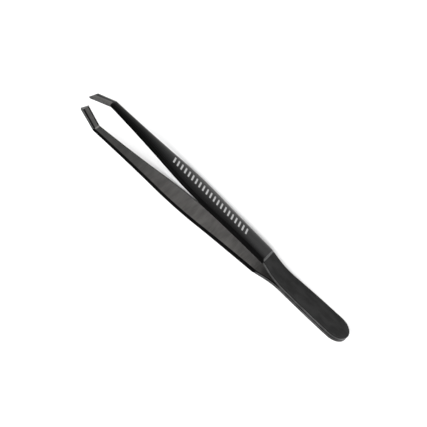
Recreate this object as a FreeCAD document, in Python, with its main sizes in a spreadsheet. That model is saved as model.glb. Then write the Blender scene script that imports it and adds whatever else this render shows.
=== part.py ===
"""Slant tweezers: two spring-steel blades, spot-welded heel to heel, drawn as a parametric document.

Frame, in millimetres: +X runs from the heel to the tips, +Y is the way the left arm springs out, +Z is
up, and the blades stand on their lower long edges.  The origin is under the middle of the tool.

Each blade is one strip of steel.  It is drawn in three lengths, because a rigid model has to be cut
where the steel bends: the flat heel plate that is welded, the thin leaf that flexes, and the stiff
crowned arm with its bent tip.  The right blade mirrors the left one.
"""

import FreeCAD, Part

import math
import os

import Sketcher

DRIVING_SIZES = {
    "overall_length": 95.0,  # heel end to the longer corner of the tips
    "heel_length": 21.0,  # heel end to the front of the welded faces
    "leaf_length": 9.0,  # welded faces to the shoulder
    "leaf_thickness": 0.8,  # heel plate and leaf
    "leaf_sweep_radius": 24.0,  # curve that sets the leaf outwards, tighter where the leaf has no room
    "leaf_return_radius": 1.5,  # tighter curve that turns it back at the shoulder
    "leaf_straight": 1.0,  # shortest straight run between those two curves
    "heel_width": 9.0,
    "neck_width": 8.0,  # at the front of the welded faces
    "shoulder_width": 6.75,  # the waist, where the leaf meets the thick arm
    "belly_width": 8.1,  # widest place of the arm
    "belly_reach": 24.5,  # shoulder to the belly
    "belly_radius": 90.0,
    "flank_radius": 300.0,  # hollow side between the belly and the bend
    "bend_width": 2.9,
    "tip_width": 3.1,
    "tip_reach": 6.5,  # bend to the end of the tips, along X
    "tip_slant": 12.0,  # degrees, end of the tips against the blade's width
    "shoulder_thickness": 1.45,  # at the crown of the arm
    "bend_thickness": 1.0,
    "tip_thickness": 0.85,
    "crown_radius": 8.0,  # outer face, across the blade
    "crown_bow": 0.42,  # outer face, along the blade, over its straight chord
    "ramp_length": 0.6,  # shoulder slope between leaf and crown
    "shoulder_gap": 3.2,  # between the inner faces, tweezers at rest
    "bow_gap": 9.04,  # between the inner faces at the bends
    "jaw_gap": 4.3,  # between the gripping edges
    "closed_gap": 0.02,  # left between the gripping lands when squeezed shut
    "land_length": 0.8,  # ground flat that meets the other tip
    "lip_thickness": 0.2,  # steel left at the gripping edge
    "bevel_length": 0.6,  # outer bevel that thins the edge
    "nugget_diameter": 3.0,  # spot weld
    "nugget_depth": 0.35,  # how far a weld reaches into each plate
    "nugget_spacing": 8.0,
    "nugget_setback": 5.0,  # front weld behind the front of the welded faces
    "trim": 0.6,  # how far cutters stand clear of the steel
}

ORIGIN = -1  # Sketcher's number for the origin
START, END, CENTRE = 1, 2, 3  # its numbers for the points of a line, arc or circle
GROOVE_SWEEP = 30.0  # degrees, more than the arm spans as seen from the bow's centre


def size(name):
    """The expression for one cell of the sheet."""
    return f"Sizes.{name}"


# Places along the blade, as expressions on the sheet
TIP_X = f"({size('overall_length')} / 2)"
WELD_X = f"({size('heel_length')} - {size('overall_length')} / 2)"
SHOULDER_X = f"({WELD_X} + {size('leaf_length')})"
BELLY_X = f"({SHOULDER_X} + {size('belly_reach')})"
BEND_X = f"({TIP_X} - {size('tip_reach')})"
HEEL_ROUND_X = f"({size('heel_width')} / 2 - {size('overall_length')} / 2)"

# Places across the gap: inner face of the left blade
SHOULDER_Y = f"({size('shoulder_gap')} / 2)"
BEND_Y = f"({size('bow_gap')} / 2)"
EDGE_Y = f"({size('jaw_gap')} / 2)"

# The leaf bends about its middle; its swept curve is on average a third of its rise from the weld face
PIVOT_X = f"({WELD_X} + {size('leaf_length')} / 2)"
PIVOT_Y = f"({SHOULDER_Y} / 3 + {size('leaf_thickness')} / 2)"
EDGE_FROM_PIVOT_X = f"({TIP_X} - {PIVOT_X})"
EDGE_FROM_PIVOT_Y = f"({EDGE_Y} - {PIVOT_Y})"

# Turn of each arm that brings its gripping edge to the middle plane
CLOSING_ANGLE = (
    f"(atan({EDGE_FROM_PIVOT_Y} / {EDGE_FROM_PIVOT_X})"
    f" + asin(({PIVOT_Y} - {size('closed_gap')} / 2)"
    f" / sqrt({EDGE_FROM_PIVOT_X}^2 + {EDGE_FROM_PIVOT_Y}^2)))"
)
LAND_START_X = f"({TIP_X} - {size('land_length')})"
LAND_START_Y = f"({EDGE_Y} - {size('land_length')} * tan({CLOSING_ANGLE}))"

# Slopes of the faces, seen from above
SPLAY = f"atan(({BEND_Y} - {SHOULDER_Y}) / ({BEND_X} - {SHOULDER_X}))"
TIP_LEAN = f"atan(({BEND_Y} - {LAND_START_Y}) / ({LAND_START_X} - {BEND_X}))"
KNUCKLE_X = f"({BEND_X} + {size('bend_thickness')} * tan(({TIP_LEAN} - {SPLAY}) / 2))"
KNUCKLE_Y = f"({BEND_Y} + {size('bend_thickness')})"
CROWN_START_Y = f"({SHOULDER_Y} + {size('shoulder_thickness')})"
TIP_BACK_Y = (
    f"({BEND_Y} - {size('tip_reach')} * tan({TIP_LEAN}) + {size('tip_thickness')} / cos({TIP_LEAN}))"
)
ARM_BACK_RISE = f"({KNUCKLE_Y} - {CROWN_START_Y})"
ARM_BACK_RUN = f"({KNUCKLE_X} - {SHOULDER_X})"
ARM_BACK_SLOPE = f"atan({ARM_BACK_RISE} / {ARM_BACK_RUN})"
ARM_BACK_CHORD = f"sqrt({ARM_BACK_RISE}^2 + {ARM_BACK_RUN}^2)"
BOW_RADIUS = f"({ARM_BACK_CHORD}^2 / (8 * {size('crown_bow')}) + {size('crown_bow')} / 2)"
BOW_PEAK_X = f"(({SHOULDER_X} + {KNUCKLE_X}) / 2 - {size('crown_bow')} * sin({ARM_BACK_SLOPE}))"
BOW_PEAK_Y = f"(({CROWN_START_Y} + {KNUCKLE_Y}) / 2 + {size('crown_bow')} * cos({ARM_BACK_SLOPE}))"
TIP_BACK_SLOPE = f"atan(({TIP_BACK_Y} - {KNUCKLE_Y}) / ({TIP_X} - {KNUCKLE_X}))"

HALF_HEIGHT = f"(max({size('heel_width')}; {size('belly_width')}) / 2)"
CUT_HEIGHT = f"({HALF_HEIGHT} + {size('trim')})"


def make_sheet(doc):
    """Writes the driving dimensions into the sheet, one aliased cell each."""
    sheet = doc.addObject("Spreadsheet::Sheet", "Sizes")
    for row, (name, value) in enumerate(DRIVING_SIZES.items(), start=1):
        sheet.set(f"A{row}", name)
        sheet.set(f"B{row}", str(value))
        sheet.setAlias(f"B{row}", name)
    doc.recompute()
    return sheet


def number(doc, expression):
    """What an expression comes to now, as a plain number."""
    value = doc.Sizes.evalExpression(expression)
    return float(getattr(value, "Value", value))


def add_body(doc, label):
    """A body whose centre line is lifted so that its widest piece stands on Z = 0."""
    body = doc.addObject("PartDesign::Body", label)
    body.Label = label
    body.setExpression("Placement.Base.z", HALF_HEIGHT)
    return body


def add_sketch(body, name, plane_role):
    """An empty sketch on one of the body's own origin planes."""
    sketch = body.newObject("Sketcher::SketchObject", name)
    plane = [p for p in body.Origin.OriginFeatures if p.Role == plane_role][0]
    sketch.AttachmentSupport = (plane, "")
    sketch.MapMode = "FlatFace"
    return sketch


def bind(sketch, kind, name, expression, *geometry):
    """Adds one dimension to a sketch and ties it to an expression."""
    index = sketch.addConstraint(
        Sketcher.Constraint(kind, *geometry, number(sketch.Document, expression))
    )
    sketch.renameConstraint(index, name)
    sketch.setExpression(f"Constraints.{name}", expression)


def pin_point(sketch, name, geometry, point, x, y):
    """Ties a point's two coordinates to expressions."""
    bind(sketch, "DistanceX", f"{name}_x", x, ORIGIN, START, geometry, point)
    bind(sketch, "DistanceY", f"{name}_y", y, ORIGIN, START, geometry, point)


def join(sketch, first, first_end, second, second_end):
    """Makes two ends one point."""
    sketch.addConstraint(Sketcher.Constraint("Coincident", first, first_end, second, second_end))


def add_line(sketch, start, end):
    """A straight edge between two (x, y) places."""
    return sketch.addGeometry(Part.LineSegment(FreeCAD.Vector(*start, 0), FreeCAD.Vector(*end, 0)))


def add_arc(sketch, centre, radius, start_angle, end_angle):
    """An arc drawn anticlockwise between two angles in degrees."""
    circle = Part.Circle(FreeCAD.Vector(*centre, 0), FreeCAD.Vector(0, 0, 1), radius)
    arc = Part.ArcOfCircle(circle, math.radians(start_angle), math.radians(end_angle))
    return sketch.addGeometry(arc)


def add_polygon(sketch, name, corners):
    """A closed outline of straight edges, each corner tied to its pair of expressions."""
    places = [(number(sketch.Document, x), number(sketch.Document, y)) for x, y in corners]
    edges = [add_line(sketch, places[i], places[(i + 1) % len(places)]) for i in range(len(places))]
    for i, edge in enumerate(edges):
        join(sketch, edge, END, edges[(i + 1) % len(edges)], START)
    for i, (edge, (x, y)) in enumerate(zip(edges, corners)):
        pin_point(sketch, f"{name}{i}", edge, START, x, y)
    return edges


def add_pad(body, name, sketch, length, midplane=False, reverse=False):
    """Pads a sketch by an expression's length."""
    pad = body.newObject("PartDesign::Pad", name)
    pad.Profile = sketch
    pad.Midplane = midplane
    pad.Reversed = reverse
    pad.setExpression("Length", length)
    body.Document.recompute()
    return pad


def add_cut(body, name, sketch):
    """Cuts a sketch right through the body, both ways."""
    cut = body.newObject("PartDesign::Pocket", name)
    cut.Profile = sketch
    cut.Type = "ThroughAll"
    cut.Midplane = True
    before = body.Shape.Volume
    body.Document.recompute()
    if body.Shape.Volume >= before:
        raise RuntimeError(f"{name} removed nothing")
    return cut


def mirror_cut(body, name, cut):
    """Repeats a cut on the lower edge of the blade."""
    mirrored = body.newObject("PartDesign::Mirrored", name)
    mirrored.Originals = [cut]
    plane = [p for p in body.Origin.OriginFeatures if p.Role == "XY_Plane"][0]
    mirrored.MirrorPlane = (plane, [""])
    body.Tip = mirrored
    body.Document.recompute()
    return mirrored


def left_heel_plate(doc):
    """Flat plate with a round end; its inner face is on the middle plane, and it holds half of each weld."""
    body = add_body(doc, "left_heel_plate")
    sketch = add_sketch(body, "heel_outline", "XZ_Plane")
    weld_x, round_x = number(doc, WELD_X), number(doc, HEEL_ROUND_X)
    half_neck = number(doc, size("neck_width")) / 2
    half_heel = number(doc, size("heel_width")) / 2
    rise, run = half_heel - half_neck, weld_x - round_x
    side_radius = (run**2 + rise**2) / (2 * rise)
    side_turn = math.degrees(math.asin(run / side_radius))

    upper = add_arc(sketch, (round_x, half_heel - side_radius), side_radius, 90 - side_turn, 90)
    end = add_arc(sketch, (round_x, 0), half_heel, 90, 270)
    lower = add_arc(sketch, (round_x, side_radius - half_heel), side_radius, 270, 270 + side_turn)
    front = add_line(sketch, (weld_x, -half_neck), (weld_x, half_neck))
    join(sketch, upper, END, end, START)
    join(sketch, end, END, lower, START)
    join(sketch, lower, END, front, START)
    join(sketch, front, END, upper, START)
    neck = f"{size('neck_width')} / 2"
    pin_point(sketch, "front_low", front, START, WELD_X, f"-{neck}")
    pin_point(sketch, "front_high", front, END, WELD_X, neck)
    pin_point(sketch, "round_centre", end, CENTRE, HEEL_ROUND_X, "0")
    bind(sketch, "Radius", "round_radius", f"{size('heel_width')} / 2", end)
    bind(sketch, "DistanceX", "round_high", HEEL_ROUND_X, ORIGIN, START, end, START)
    bind(sketch, "DistanceX", "round_low", HEEL_ROUND_X, ORIGIN, START, end, END)
    bind(sketch, "DistanceX", "upper_centre", HEEL_ROUND_X, ORIGIN, START, upper, CENTRE)
    bind(sketch, "DistanceX", "lower_centre", HEEL_ROUND_X, ORIGIN, START, lower, CENTRE)
    # The XZ plane's own normal points to -Y, so the pad is reversed to grow towards +Y
    add_pad(body, "heel_pad", sketch, size("leaf_thickness"), reverse=True)

    seats = add_sketch(body, "weld_seats", "XZ_Plane")
    for i, x in enumerate(nugget_places()):
        seat = seats.addGeometry(
            Part.Circle(FreeCAD.Vector(number(doc, x), 0, 0), FreeCAD.Vector(0, 0, 1), 1.0)
        )
        pin_point(seats, f"seat{i}", seat, CENTRE, x, "0")
        bind(seats, "Radius", f"seat{i}_radius", f"{size('nugget_diameter')} / 2", seat)
    pocket = body.newObject("PartDesign::Pocket", "weld_pockets")
    pocket.Profile = seats
    pocket.setExpression("Length", size("nugget_depth"))
    before = body.Shape.Volume
    doc.recompute()
    if body.Shape.Volume >= before:
        raise RuntimeError("the weld pockets removed nothing")
    return body


def nugget_places():
    """Where the two spot welds lie along X."""
    front = f"({WELD_X} - {size('nugget_setback')})"
    return [front, f"({front} - {size('nugget_spacing')})"]


def left_spring_leaf(doc):
    """The thin length that flexes: swept outwards from the weld, then turned back at the shoulder."""
    body = add_body(doc, "left_spring_leaf")
    sketch = add_sketch(body, "leaf_profile", "XY_Plane")
    turn, thick = size("leaf_return_radius"), size("leaf_thickness")
    front_centre_x = f"({SHOULDER_X} + {turn} * sin({SPLAY}))"
    front_centre_y = f"({SHOULDER_Y} - {turn} * cos({SPLAY}))"
    # The sweep that leaves the shortest straight run between the curves
    reach = f"({front_centre_x} - {WELD_X})^2 + {front_centre_y}^2"
    spare = f"({reach} - {turn}^2 - {size('leaf_straight')}^2)"
    widest_sweep = f"({spare} / (2 * ({turn} + {front_centre_y})))"
    sweep = f"min({size('leaf_sweep_radius')}; {widest_sweep})"
    rear = (number(doc, WELD_X), number(doc, sweep))
    front = (number(doc, front_centre_x), number(doc, front_centre_y))
    splay = number(doc, SPLAY)
    # Slope of the straight run that touches both curves
    run, drop = front[0] - rear[0], rear[1] - front[1]
    both = number(doc, f"{sweep} + {turn}")
    slope = math.degrees(math.asin(both / math.hypot(run, drop)) - math.atan2(drop, run))

    def side(name, rear_radius, front_radius):
        """One face of the leaf: curve, straight run, curve."""
        rear_size, front_size = number(doc, rear_radius), number(doc, front_radius)
        first = add_arc(sketch, rear, rear_size, 270, 270 + slope)
        last = add_arc(sketch, front, front_size, 90 + splay, 90 + slope)
        lean = math.radians(slope)
        run_line = add_line(
            sketch,
            (rear[0] + rear_size * math.sin(lean), rear[1] - rear_size * math.cos(lean)),
            (front[0] - front_size * math.sin(lean), front[1] + front_size * math.cos(lean)),
        )
        pin_point(sketch, f"{name}_rear", first, CENTRE, WELD_X, sweep)
        pin_point(sketch, f"{name}_front", last, CENTRE, front_centre_x, front_centre_y)
        bind(sketch, "Radius", f"{name}_rear_radius", rear_radius, first)
        bind(sketch, "Radius", f"{name}_front_radius", front_radius, last)
        bind(sketch, "DistanceX", f"{name}_weld_end", WELD_X, ORIGIN, START, first, START)
        bind(sketch, "DistanceX", f"{name}_shoulder_end", SHOULDER_X, ORIGIN, START, last, START)
        sketch.addConstraint(Sketcher.Constraint("Tangent", first, END, run_line, START))
        sketch.addConstraint(Sketcher.Constraint("Tangent", run_line, END, last, END))
        return first, last

    inner_rear, inner_front = side("inner", sweep, turn)
    outer_rear, outer_front = side("outer", f"({sweep} - {thick})", f"({turn} + {thick})")
    leaf_thickness = number(doc, thick)
    weld_face = add_line(sketch, (rear[0], 0), (rear[0], leaf_thickness))
    join(sketch, weld_face, START, inner_rear, START)
    join(sketch, weld_face, END, outer_rear, START)
    shoulder = number(doc, SHOULDER_X), number(doc, SHOULDER_Y)
    shoulder_face = add_line(sketch, shoulder, (shoulder[0], shoulder[1] + leaf_thickness))
    join(sketch, shoulder_face, START, inner_front, START)
    join(sketch, shoulder_face, END, outer_front, START)
    add_pad(body, "leaf_pad", sketch, f"2 * {CUT_HEIGHT}", midplane=True)

    taper = add_sketch(body, "leaf_sides", "XZ_Plane")
    neck, waist = f"({size('neck_width')} / 2)", f"({size('shoulder_width')} / 2)"
    add_polygon(
        taper, "side", [(WELD_X, neck), (SHOULDER_X, waist), (SHOULDER_X, CUT_HEIGHT), (WELD_X, CUT_HEIGHT)]
    )
    mirror_cut(body, "lower_side", add_cut(body, "upper_side", taper))
    return body


def add_open_frame(sketch, first, first_end, last, last_end, over):
    """Closes a curve by straight edges over two far corners, from its last end back to its first."""
    doc = sketch.Document
    corners = [(number(doc, x), number(doc, y)) for x, y in over]
    tail = sketch.getPoint(last, last_end)
    head = sketch.getPoint(first, first_end)
    up = add_line(sketch, (tail.x, tail.y), corners[0])
    across = add_line(sketch, corners[0], corners[1])
    down = add_line(sketch, corners[1], (head.x, head.y))
    join(sketch, last, last_end, up, START)
    join(sketch, up, END, across, START)
    join(sketch, across, END, down, START)
    join(sketch, down, END, first, first_end)
    pin_point(sketch, "far_front", across, START, *over[0])
    pin_point(sketch, "far_rear", across, END, *over[1])


def left_arm(doc):
    """The stiff crowned arm with its inward bend, slanted end, gripping land and outer bevel."""
    body = add_body(doc, "left_arm")
    plan = add_sketch(body, "arm_plan", "XY_Plane")
    trim = size("trim")
    back_y = f"({TIP_BACK_Y} - {size('bevel_length')} * tan({TIP_BACK_SLOPE}))"
    lip_y = f"({EDGE_Y} + {size('lip_thickness')})"
    leaf_back_y = f"({SHOULDER_Y} + {size('leaf_thickness')})"
    ramp_rise = f"({size('shoulder_thickness')} - {size('leaf_thickness')})"
    add_polygon(
        plan,
        "plan",
        [
            (SHOULDER_X, SHOULDER_Y),
            (BEND_X, BEND_Y),
            (LAND_START_X, LAND_START_Y),
            (TIP_X, EDGE_Y),
            (TIP_X, lip_y),
            # twice as far as where the bevel meets the back of the tip, so that it runs out of the steel
            (f"{TIP_X} - 2 * {size('bevel_length')}", f"2 * {back_y} - {lip_y}"),
            (KNUCKLE_X, f"{KNUCKLE_Y} + {trim}"),
            (f"{SHOULDER_X} + 2 * {size('ramp_length')}", f"{CROWN_START_Y} + {ramp_rise}"),
            (SHOULDER_X, leaf_back_y),
        ],
    )
    add_pad(body, "arm_pad", plan, f"2 * {CUT_HEIGHT}", midplane=True)
    add_arm_crown(body)
    add_cut(body, "tip_crown", crown_section(body, "tip_section", KNUCKLE_X, KNUCKLE_Y, TIP_BACK_SLOPE))
    add_arm_sides(doc, body)

    slant = add_sketch(body, "slanted_end", "XZ_Plane")
    half_tip = f"({size('tip_width')} / 2)"
    tan_slant = f"tan({size('tip_slant')})"
    drop = f"({TIP_X} - ({half_tip} + {CUT_HEIGHT}) * {tan_slant})"
    rise = f"({TIP_X} + ({CUT_HEIGHT} - {half_tip}) * {tan_slant})"
    beyond = f"({TIP_X} + {CUT_HEIGHT})"
    low = f"-{CUT_HEIGHT}"
    add_polygon(slant, "end", [(drop, low), (beyond, low), (beyond, CUT_HEIGHT), (rise, CUT_HEIGHT)])
    add_cut(body, "end_cut", slant)
    return body


def crown_section(body, name, peak_x, peak_y, slope):
    """Sketch of what lies outside the crown's circle, in the plane square to a line seen from above."""
    doc = body.Document
    sketch = add_sketch(body, name, "YZ_Plane")
    # On the YZ plane the sketch's own x is +Y, its y is +Z and its normal is +X
    sketch.AttachmentOffset = FreeCAD.Placement(
        FreeCAD.Vector(0, 0, 0), FreeCAD.Rotation(FreeCAD.Vector(0, 1, 0), 1)
    )
    sketch.setExpression("AttachmentOffset.Base.x", peak_y)
    sketch.setExpression("AttachmentOffset.Base.z", peak_x)
    sketch.setExpression("AttachmentOffset.Rotation.Angle", slope)
    radius, half = number(doc, size("crown_radius")), number(doc, CUT_HEIGHT)
    sweep = math.degrees(math.asin(half / radius))
    arc = add_arc(sketch, (-radius, 0), radius, -sweep, sweep)
    far = size("crown_radius")
    add_open_frame(sketch, arc, START, arc, END, [(far, CUT_HEIGHT), (far, f"-{CUT_HEIGHT}")])
    pin_point(sketch, "centre", arc, CENTRE, f"-{size('crown_radius')}", "0")
    bind(sketch, "Radius", "radius", size("crown_radius"), arc)
    bind(sketch, "DistanceY", "low_end", f"-{CUT_HEIGHT}", ORIGIN, START, arc, START)
    bind(sketch, "DistanceY", "high_end", CUT_HEIGHT, ORIGIN, START, arc, END)
    return sketch


def add_arm_crown(body):
    """Rounds the arm's outer face across the blade, and bows it along the blade."""
    doc = body.Document
    sketch = crown_section(body, "arm_section", BOW_PEAK_X, BOW_PEAK_Y, ARM_BACK_SLOPE)
    bow_radius, half = number(doc, BOW_RADIUS), number(doc, CUT_HEIGHT)
    centre_line = add_line(sketch, (-bow_radius, -half), (-bow_radius, half))
    sketch.toggleConstruction(centre_line)
    pin_point(sketch, "axis_low", centre_line, START, f"-{BOW_RADIUS}", f"-{CUT_HEIGHT}")
    pin_point(sketch, "axis_high", centre_line, END, f"-{BOW_RADIUS}", CUT_HEIGHT)
    crown = body.newObject("PartDesign::Groove", "arm_crown")
    crown.Profile = sketch
    crown.ReferenceAxis = (sketch, ["Axis0"])
    crown.Angle = GROOVE_SWEEP
    crown.Midplane = True
    before = body.Shape.Volume
    doc.recompute()
    if body.Shape.Volume >= before:
        raise RuntimeError("arm_crown removed nothing")


def add_arm_sides(doc, body):
    """Cuts both long edges to the arm's outline: waist, belly, hollow flank, bend, flared tip."""
    sketch = add_sketch(body, "arm_sides", "XZ_Plane")
    shoulder_z, belly_z = f"({size('shoulder_width')} / 2)", f"({size('belly_width')} / 2)"
    bend_z, tip_z = f"({size('bend_width')} / 2)", f"({size('tip_width')} / 2)"
    shoulder_x, belly_x, bend_x = (number(doc, x) for x in (SHOULDER_X, BELLY_X, BEND_X))
    waist, belly, bend = (number(doc, z) for z in (shoulder_z, belly_z, bend_z))
    belly_radius, flank_radius = (number(doc, size(n)) for n in ("belly_radius", "flank_radius"))
    belly_centre = (belly_x, belly - belly_radius)

    # The rear hollow runs level at the shoulder and touches the belly
    both = ((belly_x - shoulder_x) ** 2 + (belly - waist) ** 2) / (2 * (belly - waist))
    rear_radius = both - belly_radius
    rear_turn = math.degrees(math.asin((belly_x - shoulder_x) / both))
    rear = add_arc(sketch, (shoulder_x, waist + rear_radius), rear_radius, 270, 270 + rear_turn)

    # The flank touches the belly and passes through the bend
    reach = math.dist(belly_centre, (bend_x, bend))
    both = belly_radius + flank_radius
    opening = math.acos((reach**2 + both**2 - flank_radius**2) / (2 * reach * both))
    towards = math.atan2(bend - belly_centre[1], bend_x - belly_centre[0]) + opening
    flank_centre = (belly_centre[0] + both * math.cos(towards), belly_centre[1] + both * math.sin(towards))
    at_bend = math.atan2(bend - flank_centre[1], bend_x - flank_centre[0])
    flank_turn = math.degrees(towards)
    swell = add_arc(sketch, belly_centre, belly_radius, flank_turn, 90 + rear_turn)
    flank = add_arc(sketch, flank_centre, flank_radius, flank_turn + 180, math.degrees(at_bend) + 360)
    flare = f"(({tip_z} - {bend_z}) / {size('tip_reach')})"
    over_x = f"({TIP_X} + {size('trim')})"
    over_z = f"({tip_z} + {size('trim')} * {flare})"
    tip = add_line(sketch, (bend_x, bend), (number(doc, over_x), number(doc, over_z)))

    join(sketch, flank, END, tip, START)
    sketch.addConstraint(Sketcher.Constraint("Tangent", rear, END, swell, END))
    sketch.addConstraint(Sketcher.Constraint("Tangent", swell, START, flank, START))
    pin_point(sketch, "waist", rear, START, SHOULDER_X, shoulder_z)
    bind(sketch, "DistanceX", "rear_centre", SHOULDER_X, ORIGIN, START, rear, CENTRE)
    pin_point(sketch, "belly_centre", swell, CENTRE, BELLY_X, f"({belly_z} - {size('belly_radius')})")
    bind(sketch, "Radius", "belly_radius", size("belly_radius"), swell)
    bind(sketch, "Radius", "flank_radius", size("flank_radius"), flank)
    pin_point(sketch, "bend", tip, START, BEND_X, bend_z)
    pin_point(sketch, "tip", tip, END, over_x, over_z)
    far_z = f"({CUT_HEIGHT} + {size('trim')})"
    add_open_frame(sketch, rear, START, tip, END, [(over_x, far_z), (SHOULDER_X, far_z)])
    mirror_cut(body, "lower_outline", add_cut(body, "upper_outline", sketch))


def spot_welds(doc):
    """Two fused discs that hold the heel plates together, half in each plate."""
    discs = []
    for i, x in enumerate(nugget_places()):
        disc = doc.addObject("Part::Cylinder", f"weld_nugget_{i + 1}")
        disc.Placement = FreeCAD.Placement(
            FreeCAD.Vector(0, 0, 0), FreeCAD.Rotation(FreeCAD.Vector(1, 0, 0), -90)
        )
        disc.setExpression("Radius", f"{size('nugget_diameter')} / 2")
        disc.setExpression("Height", f"2 * {size('nugget_depth')}")
        disc.setExpression("Placement.Base.x", x)
        disc.setExpression("Placement.Base.y", f"-{size('nugget_depth')}")
        disc.setExpression("Placement.Base.z", HALF_HEIGHT)
        discs.append(disc)
    both = doc.addObject("Part::Compound", "spot_welds")
    both.Links = discs
    both.Label = "spot_welds"
    return both


def mirror_blade(doc, source, label):
    """The right blade's piece: the left one reflected in the middle plane."""
    mirrored = doc.addObject("Part::Mirroring", label)
    mirrored.Source = source
    mirrored.Normal = FreeCAD.Vector(0, 1, 0)
    mirrored.Label = label
    return mirrored


def check(doc, sub_parts):
    """Stops before anything is written if a feature failed or a solid is bad."""
    failed = [o.Name for o in doc.Objects if {"Invalid", "Error"} & set(o.State)]
    if failed:
        raise RuntimeError(f"failed objects: {failed}")
    for part in sub_parts:
        shape = part.Shape
        if shape.isNull() or not shape.isValid() or not shape.Solids:
            raise RuntimeError(f"{part.Label} has no valid solid")


def main():
    doc = FreeCAD.newDocument("slant_tweezers")
    make_sheet(doc)
    left = [left_heel_plate(doc), left_spring_leaf(doc), left_arm(doc)]
    doc.recompute()
    right = [mirror_blade(doc, piece, piece.Label.replace("left", "right")) for piece in left]
    sub_parts = left + right + [spot_welds(doc)]
    doc.recompute()
    check(doc, sub_parts)
    os.makedirs("parts", exist_ok=True)
    for part in sub_parts:
        part.Shape.exportStep(f"parts/{part.Label}.step")
        box = part.Shape.optimalBoundingBox()
        spans = ", ".join(
            f"{axis} {getattr(box, axis + 'Min'):.3f} to {getattr(box, axis + 'Max'):.3f}" for axis in "XYZ"
        )
        print(f"{part.Label}: {len(part.Shape.Solids)} solid(s), {part.Shape.Volume:.2f} mm3, {spans}")
    pivot = f"X {number(doc, PIVOT_X):.4f}, Y {number(doc, PIVOT_Y):.4f}"
    print(f"each arm closes by {number(doc, CLOSING_ANGLE):.4f} degrees about {pivot}")


main()
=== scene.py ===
"""Finished look of a pair of slant tweezers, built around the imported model.

Lengths are metres in the model's frame: +X from the heel to the tips, +Y the way the left arm
springs out, +Z up across the width of the blades.  Each blade is one unbroken strip of steel, lofted
row by row along its inner face: flat heel, thin leaf, crowned arm, sharp bend and ground tip.
"""

import logging
import math
from dataclasses import dataclass, field
from enum import Enum

import bmesh
import bpy
from mathutils import Matrix, Vector


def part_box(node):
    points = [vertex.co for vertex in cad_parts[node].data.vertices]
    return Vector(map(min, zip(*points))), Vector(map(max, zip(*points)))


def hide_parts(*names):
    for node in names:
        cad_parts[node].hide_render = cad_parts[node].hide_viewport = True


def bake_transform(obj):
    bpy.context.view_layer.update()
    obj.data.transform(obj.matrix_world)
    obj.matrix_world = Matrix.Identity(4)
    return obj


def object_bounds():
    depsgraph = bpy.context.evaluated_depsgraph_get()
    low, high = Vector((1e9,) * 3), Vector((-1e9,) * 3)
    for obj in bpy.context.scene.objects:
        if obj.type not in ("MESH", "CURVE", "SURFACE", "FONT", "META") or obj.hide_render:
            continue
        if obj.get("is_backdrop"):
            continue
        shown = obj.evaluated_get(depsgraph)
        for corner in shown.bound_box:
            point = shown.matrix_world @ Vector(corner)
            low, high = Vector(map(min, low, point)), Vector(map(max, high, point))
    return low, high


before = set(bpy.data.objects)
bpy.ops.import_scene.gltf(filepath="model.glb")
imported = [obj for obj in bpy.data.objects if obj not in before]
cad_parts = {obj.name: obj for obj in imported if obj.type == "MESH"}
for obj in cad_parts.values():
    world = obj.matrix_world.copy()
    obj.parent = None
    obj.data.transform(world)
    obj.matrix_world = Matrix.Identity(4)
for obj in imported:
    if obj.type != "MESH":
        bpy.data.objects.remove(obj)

LOG = logging.getLogger("slant_tweezers")
MM = 0.001
PLACE = "blade_place"  # attribute: millimetres along, through and across the straightened blade
HALVINGS = 60  # of a range, to find a place on a path
MERGE = 1e-8  # metres, within which corners of a mesh become one
FULL = (0.0, 1.0)
MIDDLE = (0.35, 0.65)  # the range that most of a noise lies in
BROAD = (0.3, 0.7)
Socket = bpy.types.NodeSocket
Value = Socket | float | tuple
Point = tuple[float, float]
Scale = tuple[float, float, float]


class Side(Enum):
    """The two blades; the value is the way each one springs out along Y."""

    LEFT = 1
    RIGHT = -1

    @property
    def word(self) -> str:
        """The side's name as the model's nodes use it."""
        return self.name.lower()

    @property
    def nodes(self) -> tuple[str, str, str]:
        """The model's nodes that this blade stands for."""
        return f"{self.word}_heel_plate", f"{self.word}_spring_leaf", f"{self.word}_arm"


class Zone(Enum):
    """Finishes on one blade; the value is the material slot."""

    GLOSS = 0
    INNER = 1
    MATTE = 2
    SHEARED = 3
    GROUND = 4


class Part(Enum):
    """Where a face of the loft lies on the blade."""

    INSIDE = 0
    WALL = 1
    OUTSIDE = 2


class Way(Enum):
    """Directions on the straightened blade; the value is the number's place in the attribute."""

    ALONG = 0
    THROUGH = 1
    ACROSS = 2


def smooth(share: float) -> float:
    """Eases a share between 0 and 1.

    Args:
        share: How far along, clamped to the range 0 to 1.

    Returns:
        The eased share, level at both ends.
    """
    share = min(max(share, 0.0), 1.0)
    return share * share * (3 - 2 * share)


def lerp(first: float, last: float, share: float) -> float:
    """The value a share of the way from the first to the last."""
    return first + (last - first) * share


def corner_drop(inset: float, radius: float) -> float:
    """How far a rounded corner falls below its face.

    Args:
        inset: Distance in from the edge.
        radius: Radius of the rounding.

    Returns:
        The drop, 0 from one radius inwards.
    """
    if inset >= radius:
        return 0.0
    return radius - math.sqrt(max(radius**2 - (radius - inset) ** 2, 0.0))


# ---------------------------------------------------------------- finishes


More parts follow.
